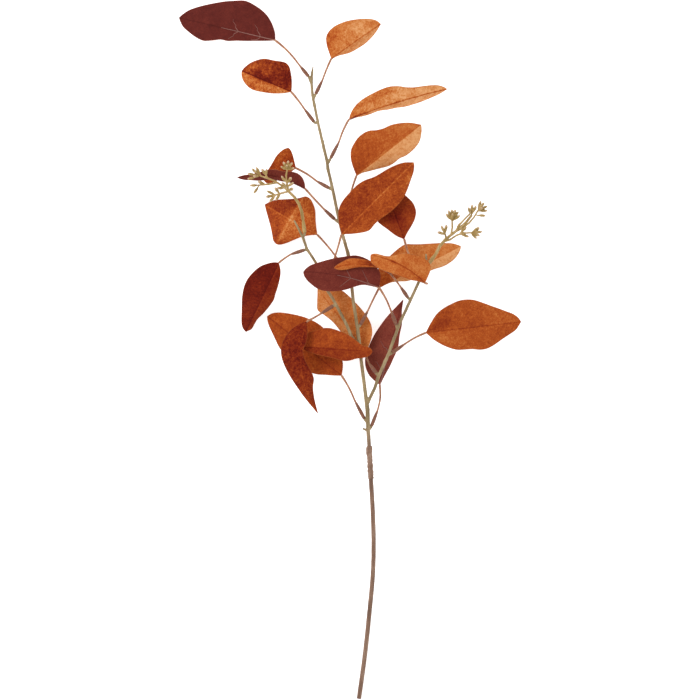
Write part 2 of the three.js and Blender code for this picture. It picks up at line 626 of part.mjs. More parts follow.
// The stalk's points with every height filled in.
function stalkRoute(leaf, stems) {
  const given = leaf.stalk.map((p) => [...p]);
  given[0][2] ??= heightOn(stems[leaf.stem], given[0]);
  given.push(leaf.base);
  const distance = [0];
  for (let i = 1; i < given.length; i++) {
    const dx = given[i][0] - given[i - 1][0];
    const dy = given[i][1] - given[i - 1][1];
    distance.push(distance[i - 1] + Math.hypot(dx, dy));
  }
  given.forEach((point, i) => {
    if (point[2] !== undefined) return;
    const before = given.findLastIndex((p, k) => k < i && p[2] !== undefined);
    const after = given.findIndex((p, k) => k > i && p[2] !== undefined);
    const share = (distance[i] - distance[before]) / (distance[after] - distance[before]);
    point[2] = given[before][2] + share * (given[after][2] - given[before][2]);
  });
  return given.map(vec);
}

// Height of a stem's centre line beside a point.
function heightOn(stem, [x, y]) {
  let best = Infinity;
  let height = 0;
  const route = smoothRoute(stem.map(vec), 1);
  route.forEach((p) => {
    const away = Math.hypot(p.x - x, p.y - y);
    if (away < best) {
      best = away;
      height = p.z;
    }
  });
  return height;
}

// Socket with a blind bore, thin stalk, and the rib that runs along one face of the blade.
function petiole(leaf, stems) {
  const route = stalkRoute(leaf, stems);
  const mouth = route[1];
  const end = route[2];
  const face = leaf.turned ? 1 : -1;
  const offset = face * (BLADE_THICKNESS / 2 + GAP + RIB_RADIUS);
  const axis = end.clone().sub(mouth);
  const points = [0, 0.4, 0.85, 1].map((share) => mouth.clone().addScaledVector(axis, share));
  const radii = [SOCKET_RADIUS * 0.9, SOCKET_RADIUS, SOCKET_RADIUS * 0.72, PETIOLE_RADIUS];
  const { left } = bladeFrame(leaf);
  const thin = route.slice(2);
  thin[thin.length - 1].addScaledVector(UP, offset).addScaledVector(left, leaf.ribAside ?? 0);
  const bent = smoothRoute(thin, leaf.stalk.length > 5 ? FOLDED_STALK_STEP : STALK_STEP).slice(1);
  bent.forEach((point) => {
    points.push(point);
    radii.push(PETIOLE_RADIUS);
  });
  BLADE_ROWS.slice(0, RIB_ROWS).forEach((u, i) => {
    points.push(midribPoint(leaf, u).addScaledVector(UP, offset).addScaledVector(left, leaf.ribAside ?? 0));
    radii.push(RIB_RADIUS * (1 - (0.55 * i) / RIB_ROWS));
  });
  return tube(points, radii, TUBE_SIDES, { radius: SOCKET_BORE_RADIUS, depth: SOCKET_BORE_DEPTH });
}

// Peg on a stem, reaching from its centre line into a socket.
function peg(root, mouth, end) {
  const along = end.clone().sub(mouth).normalize();
  const route = [-1.5, -0.4, -0.3, PEG_INSIDE].map((step) => mouth.clone().addScaledVector(along, step));
  const shoulder = PEG_SHOULDER_RADIUS;
  const radii = [shoulder, shoulder, shoulder, PEG_RADIUS, PEG_RADIUS * 0.85];
  return tube([root, ...route], radii, TUBE_SIDES);
}

// ----------------------------------------------------------------------------------------------------
// Stems and sprays

function stemTube(line, bore) {
  const radii = line.map((p) => p[3]);
  return tube(line.map(vec), radii, STEM_SIDES, bore);
}

// The main stem forks into each branch through a stub, whose end fits the branch's bore.
function forkStub(branch, from) {
  const start = vec(branch[0]);
  const along = vec(branch[1]).sub(start).normalize();
  const shoulder = start.clone().addScaledVector(along, -GAP);
  const root = vec(from);
  const route = [root, shoulder, shoulder.clone().addScaledVector(along, 0.05)];
  const inside = start.clone().addScaledVector(along, PEG_INSIDE);
  const thick = tube(route, [branch[0][3], branch[0][3], branch[0][3]], STEM_SIDES);
  const thin = tube([root, start, inside], [PEG_RADIUS, PEG_RADIUS, PEG_RADIUS * 0.85], TUBE_SIDES);
  return [thick, thin];
}

function pegsOn(stem, stems) {
  return Object.values(LEAVES)
    .filter((leaf) => leaf.stem === stem)
    .map((leaf) => {
      const route = stalkRoute(leaf, stems);
      return peg(route[0], route[1], route[2]);
    });
}

function binding() {
  const start = vec(BINDING_START);
  const span = vec(BINDING_END).sub(start);
  const length = BINDING_OUTLINE[BINDING_OUTLINE.length - 1][0];
  const bore = 2.65;
  const route = BINDING_OUTLINE.map(([at]) => start.clone().addScaledVector(span, at / length));
  const along = frames(route);
  const outer = along.map((frame, i) => circle(frame, frame.point, BINDING_OUTLINE[i][1], STEM_SIDES));
  const inner = along.map((frame) => circle(frame, frame.point, bore, STEM_SIDES)).reverse();
  inner[0] = circle(along[along.length - 1], route[route.length - 1], 2.45, STEM_SIDES);
  return loft([...outer, ...inner]);
}

function bud(from, tip) {
  const base = vec(from);
  const end = vec(tip);
  const along = end.clone().sub(base);
  const length = along.length();
  along.normalize();
  const back = Math.min(BUD_LENGTH, length * 0.85);
  const stations = [1, 0.62, 0.22];
  const radii = [TWIG_RADIUS * 0.8, BUD_RADIUS, BUD_RADIUS * 0.75];
  const route = [base, ...stations.map((share) => end.clone().addScaledVector(along, -back * share)), end];
  const rings = frames(route)
    .slice(1, 4)
    .map((frame, i) => circle(frame, frame.point, radii[i], BUD_SIDES));
  return loft(rings, base.clone().addScaledVector(along, -0.4), end);
}

function seedSpray(spray) {
  const [root, mouth, end] = spray.sleeve.map(vec);
  const axis = end.clone().sub(mouth);
  const sleeveRoute = [0, 0.4, 0.8, 1].map((s) => mouth.clone().addScaledVector(axis, s));
  const bore = { radius: SOCKET_BORE_RADIUS, depth: SOCKET_BORE_DEPTH };
  const sleeve = tube(sleeveRoute, [1.85, 1.9, 1.5, 1.0], STEM_SIDES, bore);
  const twigs = spray.twigs.map((twig, n) => {
    const route = smoothRoute(twig.map(vec), 9);
    const thick = n === 0 ? SPRAY_STALK_RADIUS : TWIG_RADIUS;
    const radii = route.map((_, i) => thick * (1.15 - (0.35 * i) / route.length));
    return tube(route, radii, TUBE_SIDES);
  });
  const buds = spray.buds.map(([from, tip]) => bud(from, tip));
  return { geometry: joined([sleeve, ...twigs, ...buds]), peg: peg(root, mouth, end) };
}

// ----------------------------------------------------------------------------------------------------
// Assembly

const group = new THREE.Group();

function addPiece(name, geometry, colour, roughness) {
  geometry.computeVertexNormals();
  const material = new THREE.MeshStandardMaterial({ color: colour, roughness, metalness: 0 });
  const mesh = new THREE.Mesh(geometry, material);
  mesh.name = name;
  group.add(mesh);
}

const stems = { main: MAIN_STEM, left: LEFT_BRANCH, right: RIGHT_BRANCH };
const leftSpray = seedSpray(LEFT_SPRAY);
const rightSpray = seedSpray(RIGHT_SPRAY);
const branchBore = { radius: SOCKET_BORE_RADIUS, depth: SOCKET_BORE_DEPTH };
const [stubRoot, stubEnd] = SPARE_STUB.map(vec);

addPiece(
  "main_stem",
  joined([
    stemTube(MAIN_STEM),
    ...pegsOn("main", stems),
    ...forkStub(LEFT_BRANCH, [9.6, 5.2, 35.4]),
    ...forkStub(RIGHT_BRANCH, [18.7, -57, 29.9]),
    tube([stubRoot, stubEnd], [1.4, 1.1], TUBE_SIDES),
  ]),
  COLOURS.stem,
  0.6,
);
addPiece("lower_stem", stemTube(LOWER_STEM), COLOURS.lowerStem, 0.65);
addPiece("stem_binding", binding(), COLOURS.binding, 0.7);
addPiece(
  "left_branch",
  joined([stemTube(LEFT_BRANCH, branchBore), ...pegsOn("left", stems), leftSpray.peg]),
  COLOURS.stem,
  0.6,
);
addPiece(
  "right_branch",
  joined([stemTube(RIGHT_BRANCH, branchBore), ...pegsOn("right", stems), rightSpray.peg]),
  COLOURS.stem,
  0.6,
);
addPiece("seed_spray_left", leftSpray.geometry, COLOURS.buds, 0.6);
addPiece("seed_spray_right", rightSpray.geometry, COLOURS.buds, 0.6);

Object.entries(LEAVES).forEach(([name, leaf]) => {
  addPiece(name, blade(leaf), COLOURS[leaf.colour], 0.85);
  addPiece(name.replace("leaf", "petiole"), petiole(leaf, stems), COLOURS.petiole, 0.6);
});

// The origin is on the table, under the middle of the spray.
const box = new THREE.Box3().setFromObject(group);
const middle = box.getCenter(new THREE.Vector3());
group.position.set(-middle.x, -middle.y, -box.min.z);

export default group;
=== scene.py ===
"""Looks of the autumn eucalyptus spray: printed cloth blades, moulded petioles, stems and seed buds."""

import math

import bmesh
import bpy
import numpy as np
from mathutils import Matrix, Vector, noise


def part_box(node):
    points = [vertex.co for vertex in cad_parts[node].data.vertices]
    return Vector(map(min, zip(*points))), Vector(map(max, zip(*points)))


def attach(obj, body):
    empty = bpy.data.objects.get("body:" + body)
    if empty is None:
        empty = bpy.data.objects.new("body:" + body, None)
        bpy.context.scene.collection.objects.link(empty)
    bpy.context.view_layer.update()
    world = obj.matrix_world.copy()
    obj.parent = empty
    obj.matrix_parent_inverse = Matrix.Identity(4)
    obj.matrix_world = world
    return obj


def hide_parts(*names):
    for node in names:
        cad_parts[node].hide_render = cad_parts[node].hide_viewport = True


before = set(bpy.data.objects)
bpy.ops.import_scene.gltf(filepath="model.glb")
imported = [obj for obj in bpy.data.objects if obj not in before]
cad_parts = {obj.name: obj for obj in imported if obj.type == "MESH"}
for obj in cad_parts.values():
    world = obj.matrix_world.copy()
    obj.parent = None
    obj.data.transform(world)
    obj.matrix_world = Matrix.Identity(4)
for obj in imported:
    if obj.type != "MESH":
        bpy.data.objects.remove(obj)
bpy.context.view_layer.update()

MM = 0.001
UP = np.array((0.0, 0.0, 1.0))


# --------------------------------------------------------------------------------------------------
# Finishes: shader arithmetic in Python


def paint(code, alpha=1.0):
    """A hexadecimal paint code as a linear colour."""
    channels = [int(code[i : i + 2], 16) / 255 for i in (0, 2, 4)]
    linear = [c / 12.92 if c <= 0.04045 else ((c + 0.055) / 1.055) ** 2.4 for c in channels]
    return (*linear, alpha)


class Wire:
    """An output of a shader node that Python's arithmetic works on."""

    def __init__(self, finish, socket):
        self.finish = finish
        self.socket = socket

    def _math(self, operation, first, second=None):
        sockets = {0: first} if second is None else {0: first, 1: second}
        return self.finish.add("ShaderNodeMath", {"operation": operation}, sockets)

    def __add__(self, other):
        return self._math("ADD", self, other)

    def __radd__(self, other):
        return self._math("ADD", other, self)

    def __sub__(self, other):
        return self._math("SUBTRACT", self, other)

    def __rsub__(self, other):
        return self._math("SUBTRACT", other, self)

    def __mul__(self, other):
        return self._math("MULTIPLY", self, other)

    def __rmul__(self, other):
        return self._math("MULTIPLY", other, self)

    def __abs__(self):
        return self._math("ABSOLUTE", self)

    def fade(self, low, high, first=0.0, last=1.0):
        """Goes smoothly from first to last while this goes from low to high."""
        settings = {"interpolation_type": "SMOOTHSTEP"}
        sockets = {"Value": self, "From Min": low, "From Max": high, "To Min": first, "To Max": last}
        return self.finish.add("ShaderNodeMapRange", settings, sockets)


class Finish:
    """A material, built up from nodes."""

    def __init__(self, name):
        self.material = bpy.data.materials.new(name)
        self.material.use_nodes = True
        self.tree = self.material.node_tree
        self.tree.nodes.clear()

    def add(self, kind, settings=None, sockets=None, out=0):
        """A node of this type, with its settings made first, then its sockets. Gives its output."""
        node = self.tree.nodes.new(kind)
        for name, value in (settings or {}).items():
            if name == "stops":
                self._set_stops(node.color_ramp, value)
            else:
                setattr(node, name, value)
        for name, value in (sockets or {}).items():
            socket = node.inputs[name]
            if isinstance(value, Wire):
                self.tree.links.new(value.socket, socket)
            else:
                socket.default_value = value
        return Wire(self, node.outputs[out])

    def _set_stops(self, ramp, stops):
        while len(ramp.elements) < len(stops):
            ramp.elements.new(0.5)
        for element, (place, colour) in zip(ramp.elements, stops):
            element.position = place
            element.color = colour

    def place(self, stretch=(1, 1, 1)):
        """The point on the object, in metres, stretched."""
        where = self.add("ShaderNodeTexCoord", out="Object")
        return self.add("ShaderNodeMapping", {}, {"Vector": where, "Scale": stretch})

    def noise(self, scale, detail=3.0, rough=0.5, where=None, warp=0.0):
        sockets = {"Scale": scale, "Detail": detail, "Roughness": rough, "Distortion": warp}
        sockets["Vector"] = where if where is not None else self.place()
        return self.add("ShaderNodeTexNoise", {}, sockets)

    def painted(self, name):
        """A number painted on the mesh's points."""
        return self.add("ShaderNodeAttribute", {"attribute_name": name}, out="Fac")

    def ramp(self, value, stops):
        return self.add("ShaderNodeValToRGB", {"stops": stops}, {"Fac": value})

    def blend(self, share, first, second):
        return self.add("ShaderNodeMix", {"data_type": "RGBA"}, {0: share, 6: first, 7: second}, out=2)

    def bump(self, height, distance, strength):
        sockets = {"Height": height, "Distance": distance, "Strength": strength}
        return self.add("ShaderNodeBump", {}, sockets)

    def close(self, **sockets):
        """Ends the material in a principled surface with these sockets."""
        named = {name.replace("_", " "): value for name, value in sockets.items()}
        surface = self.add("ShaderNodeBsdfPrincipled", {}, named)
        output = self.tree.nodes.new("ShaderNodeOutputMaterial")
        self.tree.links.new(surface.socket, output.inputs["Surface"])
        return self.material

    def join(self, x, y, z):
        return self.add("ShaderNodeCombineXYZ", {}, {"X": x, "Y": y, "Z": z})


def nap(finish):
    """Streaks of the brushed pile, which lies along the side veins, and its flecks and fine grain."""
    along = finish.painted("along")
    out = abs(finish.painted("across"))
    streak_place = finish.join((along - out * 0.8) * 330, out * 95, finish.painted("leaf") * 3.7)
    streaks = finish.noise(1.0, 5, 0.72, streak_place, 1.4)
    clouds = finish.noise(110, 4, 0.6, warp=0.6)
    flecks = finish.noise(480, 4, 0.75, warp=0.5)
    grain = finish.noise(1150, 3, 0.7)
    return out, streaks, clouds, flecks, grain


def midrib_line(out):
    """1 on the crease of the midrib and 0 beside it: where the midrib's painted shade goes."""
    return out.fade(0.0003, 0.0011, 1, 0)


def printed_cloth():
    """Front of a blade: brushed cloth printed in autumn colours, with light and shade painted into its
    colour.
    """
    finish = Finish("printed autumn cloth")
    out, streaks, clouds, flecks, grain = nap(finish)
    mottle = finish.painted("mottle")
    # The painted number is the print's tone together with painted light and shade of halves, fold facets
    # and patches.
    shade = finish.painted("tone") + (streaks - 0.5) * mottle * 0.75 + (clouds - 0.5) * mottle
    shade = shade + (flecks - 0.5) * mottle * 1.9 + (grain - 0.5) * 0.5
    # Painted shade along the midrib crease, and a painted highlight where the leaf's number is below 0.
    shade = shade - midrib_line(out) * finish.painted("crease")
    colour = finish.ramp(
        shade,
        [
            (0.0, paint("5C1007")),
            (0.15, paint("781F0C")),
            (0.35, paint("943A14")),
            (0.55, paint("B4531D")),
            (0.75, paint("CC783A")),
            (0.9, paint("DA935A")),
            (1.0, paint("E8A971")),
        ],
    )
    rim = finish.painted("rim")
    colour = finish.blend(rim.fade(0.0002, 0.0011, 0.4, 0), colour, paint("A9602F"))
    relief = finish.bump(grain * 0.6 + streaks * 0.8, 0.0005, 0.55)
    return finish.close(
        Base_Color=colour,
        Roughness=grain.fade(0.2, 0.8, 0.78, 0.96),
        Normal=relief,
        Sheen_Weight=0.10,
        Sheen_Roughness=0.5,
        Sheen_Tint=paint("E08A4A"),
        Specular_IOR_Level=0.12,
    )


def underside_cloth():
    """Back of a blade: plain burgundy cloth."""
    finish = Finish("burgundy cloth underside")
    out, streaks, clouds, flecks, grain = nap(finish)
    # The back number is the burgundy's tone, with painted light on leaf_21 where it lies in shade.
    shade = finish.painted("back") + (clouds - 0.5) * 0.35 + (streaks - 0.5) * 0.2 + (flecks - 0.5) * 0.35
    # Painted shade along the midrib crease of the underside.
    shade = shade + (grain - 0.5) * 0.6 - midrib_line(out) * 0.12
    colour = finish.ramp(
        shade,
        [
            (0.05, paint("46150F")),
            (0.28, paint("5A1F1A")),
            (0.5, paint("702C23")),
            (0.75, paint("8C4535")),
            (1.0, paint("A8624E")),
        ],
    )
    rim = finish.painted("rim")
    colour = finish.blend(rim.fade(0.0002, 0.001, 0.35, 0), colour, paint("8C4A34"))
    relief = finish.bump(grain * 0.6 + clouds * 0.4, 0.0004, 0.5)
    return finish.close(
        Base_Color=colour,
        Roughness=grain.fade(0.2, 0.8, 0.76, 0.94),
        Normal=relief,
        Sheen_Weight=0.08,
        Sheen_Roughness=0.5,
        Sheen_Tint=paint("B98070"),
        Specular_IOR_Level=0.12,
    )


def cut_edge():
    """Cut edge of the cloth, where the print doesn't reach."""
    finish = Finish("cut cloth edge")
    fibres = finish.noise(1800, 3, 0.7)
    colour = finish.ramp(fibres, [(0.3, paint("8A4424")), (0.7, paint("B87446"))])
    return finish.close(Base_Color=colour, Roughness=0.92, Normal=finish.bump(fibres, 0.0002, 0.6))


def petiole_plastic():
    """Pink-brown moulded petiole: dark brushed-on stain at the socket, paler rib under the blade."""
    finish = Finish("stained petiole plastic")
    socket = finish.painted("socket")
    rib = finish.painted("rib")
    stain = finish.noise(420, 4, 0.65)
    streaks = finish.noise(160, 3, 0.5, warp=0.8)
    colour = finish.ramp(streaks, [(0.3, paint("965C3C")), (0.7, paint("C08E6C"))])
    dark = finish.ramp(stain, [(0.3, paint("6A3E2E")), (0.7, paint("96644A"))])
    pale = finish.ramp(stain, [(0.3, paint("74423A")), (0.7, paint("96645A"))])
    colour = finish.blend(rib, colour, pale)
    colour = finish.blend(socket, colour, dark)
    relief = finish.bump(stain, 0.00025, 0.45)
    return finish.close(
        Base_Color=colour,
        Roughness=stain.fade(0.3, 0.7, 0.46, 0.66),
        Normal=relief,
        Specular_IOR_Level=0.4,
    )


def stem_plastic(name, low, middle, high, toward=None):
    """Moulded stem: long streaks and specks, and a stain that deepens towards the splice."""
    finish = Finish(name)
    streaks = finish.noise(240, 4, 0.6, finish.place((1, 0.16, 1)))
    specks = finish.noise(700, 3, 0.7)
    shade = streaks * 0.7 + specks * 0.3
    colour = finish.ramp(shade, [(0.3, paint(low)), (0.5, paint(middle)), (0.72, paint(high))])
    if toward:
        place = finish.place()
        north = finish.add("ShaderNodeSeparateXYZ", {}, {"Vector": place}, out="Y")
        stain = finish.ramp(shade, [(0.3, paint(toward[0])), (0.7, paint(toward[1]))])
        share = (north + (specks - 0.5) * 0.02).fade(-0.105, -0.078, 1, 0)
        colour = finish.blend(share, colour, stain)
    relief = finish.bump(shade, 0.0004, 0.5)
    return finish.close(
        Base_Color=colour,
        Roughness=specks.fade(0.3, 0.7, 0.5, 0.7),
        Normal=relief,
        Specular_IOR_Level=0.4,
    )


def bud_plastic():
    """Seed buds: olive at the base and pink-tan at the tip."""
    finish = Finish("tinted seed buds")
    tip = finish.painted("tipward")
    specks = finish.noise(900, 3, 0.6)
    green = finish.ramp(specks, [(0.3, paint("7A6420")), (0.7, paint("AC8F42"))])
    pink = finish.ramp(specks, [(0.3, paint("B8926E")), (0.7, paint("E0C2A0"))])
    share = (tip + (specks - 0.5) * 0.7).fade(0.45, 0.95)
    colour = finish.blend(share, green, pink)
    return finish.close(
        Base_Color=colour,
        Roughness=specks.fade(0.3, 0.7, 0.45, 0.65),
        Normal=finish.bump(specks, 0.0002, 0.4),
        Specular_IOR_Level=0.4,
    )


def bare_wire():
    finish = Finish("cut steel wire")
    scratches = finish.noise(3000, 2, 0.6, finish.place((1, 0.2, 1)))
    return finish.close(
        Base_Color=finish.ramp(scratches, [(0.3, paint("6C6864")), (0.7, paint("A5A19B"))]),
        Roughness=scratches.fade(0.3, 0.7, 0.3, 0.5),
        Metallic=0.9,
    )


# --------------------------------------------------------------------------------------------------
# Reading the CAD solids


def welded(node):
    """Points of a CAD solid and, for each, its neighbours."""
    mesh = bmesh.new()
    mesh.from_mesh(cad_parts[node].data)
    bmesh.ops.remove_doubles(mesh, verts=mesh.verts, dist=2e-6)
    mesh.verts.ensure_lookup_table()
    points = np.array([v.co[:] for v in mesh.verts])
    near = [[e.other_vert(v).index for e in v.link_edges] for v in mesh.verts]
    mesh.free()
    return points, near


def levels_from(start, near):
    """The points at one step from the start, at two steps, and so on."""
    seen = {start}
    level = [start]
    levels = [level]
    while level:
        level = sorted({n for v in level for n in near[v]} - seen)
        if level:
            levels.append(level)
            seen.update(level)
    return levels


def in_order(level, near):
    """A ring's points, one after the other."""
    members = set(level)
    ring = [level[0]]
    while len(ring) < len(level):
        steps = [n for n in near[ring[-1]] if n in members and n not in ring]
        if not steps:
            return None
        ring.append(steps[0])
    return ring


def rings_of(node, sides):
    """Rings of a lofted solid from one pointed end to the other: (start, rings, end)."""
    points, near = welded(node)
    for start in range(len(points)):
        if len(near[start]) != sides:
            continue
        levels = levels_from(start, near)
        sizes = [len(level) for level in levels]
        if sizes[0] == 1 and sizes[-1] == 1 and all(size == sides for size in sizes[1:-1]):
            rings = [in_order(level, near) for level in levels[1:-1]]
            if all(rings):
                return points[start], [points[ring] for ring in rings], points[levels[-1][0]]
    raise RuntimeError("no rings found in " + node)


# --------------------------------------------------------------------------------------------------
# Curves and meshes


def smooth_through(points, steps):
    """A smooth line through the points, with that many steps to each span, on any number of columns."""
    points = np.asarray(points, float)
    padded = np.vstack([2 * points[0] - points[1], points, 2 * points[-1] - points[-2]])
    result = []
    for i in range(len(points) - 1):
        a, b, c, d = padded[i : i + 4]
        gaps = [max(np.linalg.norm(q[:3] - p[:3]), 1e-9) ** 0.5 for p, q in ((a, b), (b, c), (c, d))]
        for step in range(steps):
            t = gaps[0] + gaps[1] * step / steps
            result.append(_span_point((a, b, c, d), gaps, t))
    result.append(points[-1])
    return np.array(result)


def _span_point(corners, gaps, t):
    a, b, c, d = corners
    t0, t1, t2, t3 = 0.0, gaps[0], gaps[0] + gaps[1], sum(gaps)
    ab = a + (b - a) * (t - t0) / (t1 - t0)
    bc = b + (c - b) * (t - t1) / (t2 - t1)
    cd = c + (d - c) * (t - t2) / (t3 - t2)
    abc = ab + (bc - ab) * (t - t0) / (t2 - t0)
    bcd = bc + (cd - bc) * (t - t1) / (t3 - t1)
    return abc + (bcd - abc) * (t - t1) / (t2 - t1)


def unit(vectors):
    lengths = np.linalg.norm(vectors, axis=-1, keepdims=True)
    return vectors / np.maximum(lengths, 1e-12)


class Shape:
    """Points and faces that are gathered into one mesh, with numbers painted on the points."""

    def __init__(self):
        self.points = []
        self.faces = []
        self.materials = []
        self.numbers = {}
        self.count = 0

    def add(self, points, faces, material=0, **numbers):
        points = np.asarray(points, float)
        first = self.count
        self.points.append(points)
        self.faces.extend([[first + i for i in face] for face in faces])
        self.materials.extend([material] * len(faces) if isinstance(material, int) else material)
        for name in set(self.numbers) | set(numbers):
            rows = self.numbers.setdefault(name, [np.zeros(first)] if first else [])
            rows.append(np.broadcast_to(np.asarray(numbers.get(name, 0.0), float), (len(points),)))
        self.count += len(points)

    def piece(self, name, finishes, sharp=50):
        mesh = bpy.data.meshes.new(name)
        mesh.from_pydata(np.vstack(self.points).tolist(), [], self.faces)
        for finish in finishes:
            mesh.materials.append(finish)
        mesh.polygons.foreach_set("material_index", self.materials)
        mesh.polygons.foreach_set("use_smooth", [True] * len(self.faces))
        for key, rows in self.numbers.items():
            layer = mesh.attributes.new(key, "FLOAT", "POINT")
            layer.data.foreach_set("value", np.concatenate(rows))
        mesh.update()
        mesh.set_sharp_from_angle(angle=math.radians(sharp))
        thing = bpy.data.objects.new(name, mesh)
        bpy.context.scene.collection.objects.link(thing)
        return thing


def sweep(route, radii, sides):
    """Points of a round tube along a route, as rings."""
    route = np.asarray(route, float)
    ahead = np.vstack([route[1:], route[-1:]])
    behind = np.vstack([route[:1], route[:-1]])
    along = unit(ahead - behind)
    side = np.cross(UP, along[0])
    if np.linalg.norm(side) < 0.1:
        side = np.cross((1.0, 0.0, 0.0), along[0])
    rings = []
    for i, point in enumerate(route):
        side = side - along[i] * np.dot(side, along[i])
        side = side / np.linalg.norm(side)
        other = np.cross(along[i], side)
        turns = 2 * math.pi * np.arange(sides) / sides
        radius = np.broadcast_to(radii[i], (sides,))[:, None]
        rings.append(point + radius * (np.cos(turns)[:, None] * side + np.sin(turns)[:, None] * other))
    return np.array(rings)


def tube_faces(count, sides):
    """Faces of a tube of that many rings, closed at both ends."""
    faces = []
    for r in range(count - 1):
        for i in range(sides):
            j = (i + 1) % sides
            faces.append((r * sides + i, r * sides + j, (r + 1) * sides + j, (r + 1) * sides + i))
    faces.append(tuple(reversed(range(sides))))
    faces.append(tuple((count - 1) * sides + i for i in range(sides)))
    return faces


def finish_piece(thing, node):
    """Hangs the piece on the root body and hides the CAD solid that it stands for."""
    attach(thing, "root")
    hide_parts(node)


# --------------------------------------------------------------------------------------------------
# Leaf blades

ACROSS = np.array([0, 0.035, 0.08, 0.14, 0.22, 0.32, 0.42, 0.52, 0.63, 0.74, 0.84, 0.92, 0.97, 1.0])
ROW_STEPS = 4
CLOTH = 0.45 * MM
RIB_ROWS = 8  # rings of a petiole that lie along the blade
RIB_END = 0.54
VEINS = (0.14, 0.37)
VEIN_LENGTH = 15 * MM
TURNED = ("leaf_01", "leaf_11", "leaf_21")  # underside up, so the rib lies above the cloth

# How light the colour is on each leaf: left half near base and near tip, right half near base and near
# tip. This is the print's tone together with painted light and shade: halves that face the light are
# painted lighter and halves that face away darker, and leaves that lie in the shade of others are painted
# lighter to make up for it. 0 is deep rust and 1 is peach. Left and right are seen from above, looking
# from base to tip.
PRINT_TONES_AND_LIGHT = {
    "leaf_02": (0.68, 0.84, 0.84, 0.84),
    "leaf_03": (0.58, 0.62, 0.22, 0.32),
    "leaf_04": (0.70, 0.94, 0.90, 0.92),
    "leaf_05": (0.50, 0.66, 0.92, 0.93),
    "leaf_06": (0.46, 0.46, 0.40, 0.52),
    "leaf_08": (0.36, 0.42, 0.42, 0.44),
    "leaf_09": (0.28, 0.34, 0.28, 0.28),
    "leaf_10": (0.60, 0.42, 0.58, 0.32),
    "leaf_12": (0.54, 0.68, 0.54, 0.66),
    "leaf_13": (0.62, 0.68, 0.64, 0.74),
    "leaf_14": (0.60, 0.74, 0.86, 0.95),
    "leaf_15": (0.44, 0.58, 0.56, 0.50),
    "leaf_16": (0.20, 0.26, 0.04, 0.10),
    "leaf_17": (0.82, 0.84, 0.74, 0.80),
    "leaf_18": (0.42, 0.46, 0.44, 0.48),
    "leaf_19": (0.14, 0.20, 0.18, 0.28),
    "leaf_20": (0.38, 0.42, 0.24, 0.36),
}

# How dark the burgundy side is, where it isn't middling (0.5). leaf_01 is darker; leaf_21 is painted
# lighter, as painted light where it lies in the shade of other leaves.
BACK_TONES_AND_LIGHT = {"leaf_01": 0.34, "leaf_21": 0.64}

# Leaves whose print is more broken than the others', and by how much.
MOTTLES = {
    "leaf_02": 0.5,
    "leaf_03": 0.75,
    "leaf_04": 0.55,
    "leaf_06": 0.6,
    "leaf_08": 0.5,
    "leaf_10": 0.55,
    "leaf_19": 0.6,
}

# Painted shade along the midrib crease: how much darker the colour is on the midrib. Below 0 it is
# lighter, a painted highlight along the midrib's ridge.
MIDRIB_SHADING = {
    "leaf_02": 0.22,
    "leaf_03": 0.36,
    "leaf_04": 0.34,
    "leaf_08": -0.16,
    "leaf_10": -0.18,
    "leaf_13": 0.2,
    "leaf_19": -0.08,
}

